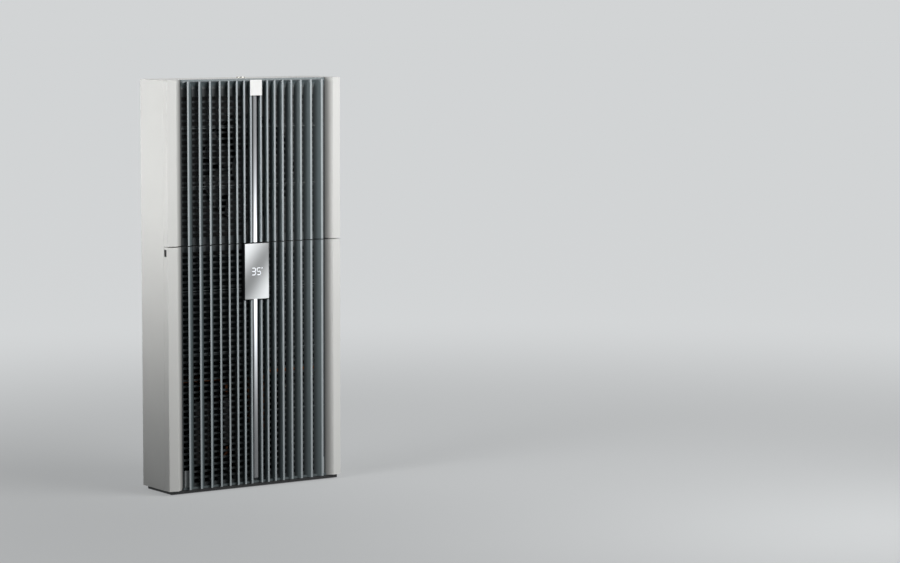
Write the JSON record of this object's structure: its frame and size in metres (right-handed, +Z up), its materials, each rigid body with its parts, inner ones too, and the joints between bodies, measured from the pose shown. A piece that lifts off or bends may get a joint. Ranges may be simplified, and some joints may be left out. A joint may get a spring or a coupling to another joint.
{
  "type": "enclosure air conditioner",
  "caption": "Slim wall-mounted enclosure cooling unit with two pull-off front covers of slanted vertical fins, a centre light bar, a display plate and an off-white hood.",
  "frame": {"origin": "middle of the footprint, on the plane of the foot pads", "axes": "+Z up, front faces -Y, +X to the right seen from the front"},
  "size_m": [0.47, 0.1334, 0.963],
  "materials": {
    "hood_paint": "off-white satin powder coat on folded steel",
    "wing_plastic": "off-white moulded plastic, satin",
    "fin_plastic": "teal-grey moulded plastic, satin",
    "guard_plastic": "near-black moulded plastic, matte",
    "light_acrylic": "opal acrylic light guide",
    "display_metal": "satin silver anodised aluminium",
    "display_plastic": "dark moulded plastic",
    "badge_plastic": "bare white plate",
    "tab_plastic": "light grey moulded plastic",
    "latch_plastic": "dark moulded plastic",
    "black_rubber": "black rubber",
    "foam_rubber": "black closed-cell foam",
    "black_steel": "black powder coat on steel",
    "zinc_steel": "zinc-coated sheet steel",
    "coil_aluminium": "dark coated aluminium fin pack",
    "copper_pipe": "drawn copper pipe",
    "compressor_paint": "black enamel on a steel can",
    "motor_metal": "black coated motor casting",
    "impeller_plastic": "glass-filled black plastic",
    "circuit_board": "green circuit board",
    "insert_steel": "nickel-plated steel insert",
    "drain_plastic": "grey plastic pipe",
    "gland_plastic": "dark grey plastic gland"
  },
  "bodies": {
    "unit": {"foot_pads": "black_rubber", "plinth_rails": "black_steel", "plinth_skirt": "black_steel", "base_tray": "zinc_steel", "right_side_panel": "hood_paint", "left_side_panel": "hood_paint", "top_panel": "hood_paint", "rear_panel": "zinc_steel", "rear_gasket": "foam_rubber", "rear_inserts": "insert_steel", "lifting_insert": "insert_steel", "cable_gland": "gland_plastic", "bay_shelf": "zinc_steel", "partition_panel": "zinc_steel", "condensate_tray": "drain_plastic", "drain_pipe": "drain_plastic", "condenser_coil": "coil_aluminium", "condenser_headers": "coil_aluminium", "fan_shroud": "black_steel", "condenser_fan_motor": "motor_metal", "evaporator_coil": "coil_aluminium", "evaporator_headers": "coil_aluminium", "inlet_ring": "zinc_steel", "evaporator_fan_motor": "motor_metal", "compressor": "compressor_paint", "compressor_plate": "zinc_steel", "compressor_grommets": "black_rubber", "accumulator": "compressor_paint", "accumulator_elbow": "copper_pipe", "discharge_pipe": "copper_pipe", "liquid_pipe": "copper_pipe", "filter_dryer": "copper_pipe", "injection_pipe": "copper_pipe", "expansion_valve": "copper_pipe", "evaporator_feed": "copper_pipe", "suction_pipe": "copper_pipe", "electronics_box": "zinc_steel", "electronics_lid": "zinc_steel", "control_board": "circuit_board"},
    "upper_cover": {"upper_wing_right": "wing_plastic", "upper_wing_left": "wing_plastic", "upper_louvre": "fin_plastic", "upper_guard": "guard_plastic", "upper_light_guide": "light_acrylic", "badge_plate": "badge_plastic"},
    "lower_cover": {"lower_wing_right": "wing_plastic", "lower_wing_left": "wing_plastic", "lower_louvre": "fin_plastic", "lower_guard": "guard_plastic", "lower_light_guide": "light_acrylic", "seat_tabs": "tab_plastic", "display_housing": "display_plastic", "display_face": "display_metal"},
    "left_latch": {"latch_left": "latch_plastic"},
    "right_latch": {"latch_right": "latch_plastic"},
    "condenser_fan": {"condenser_impeller": "impeller_plastic"},
    "evaporator_fan": {"evaporator_impeller": "impeller_plastic"}
  },
  "joints": [
    {"name": "upper_cover_pull", "type": "slide", "parent": "unit", "child": "upper_cover", "axis": [0, -1, 0], "range_m": [0, 0.12]},
    {"name": "lower_cover_pull", "type": "slide", "parent": "unit", "child": "lower_cover", "axis": [0, -1, 0], "range_m": [0, 0.12]},
    {"name": "left_latch_press", "type": "slide", "parent": "lower_cover", "child": "left_latch", "axis": [1, 0, 0], "range_m": [0, 0.003], "stiffness_N_per_m": 600},
    {"name": "right_latch_press", "type": "slide", "parent": "lower_cover", "child": "right_latch", "axis": [-1, 0, 0], "range_m": [0, 0.003], "stiffness_N_per_m": 600},
    {"name": "condenser_fan_spin", "type": "hinge", "parent": "unit", "child": "condenser_fan", "pos_m": [0, -0.01925, 0.752], "axis": [0, 1, 0], "continuous": true},
    {"name": "evaporator_fan_spin", "type": "hinge", "parent": "unit", "child": "evaporator_fan", "pos_m": [0, 0.03475, 0.752], "axis": [0, 1, 0], "continuous": true}
  ]
}
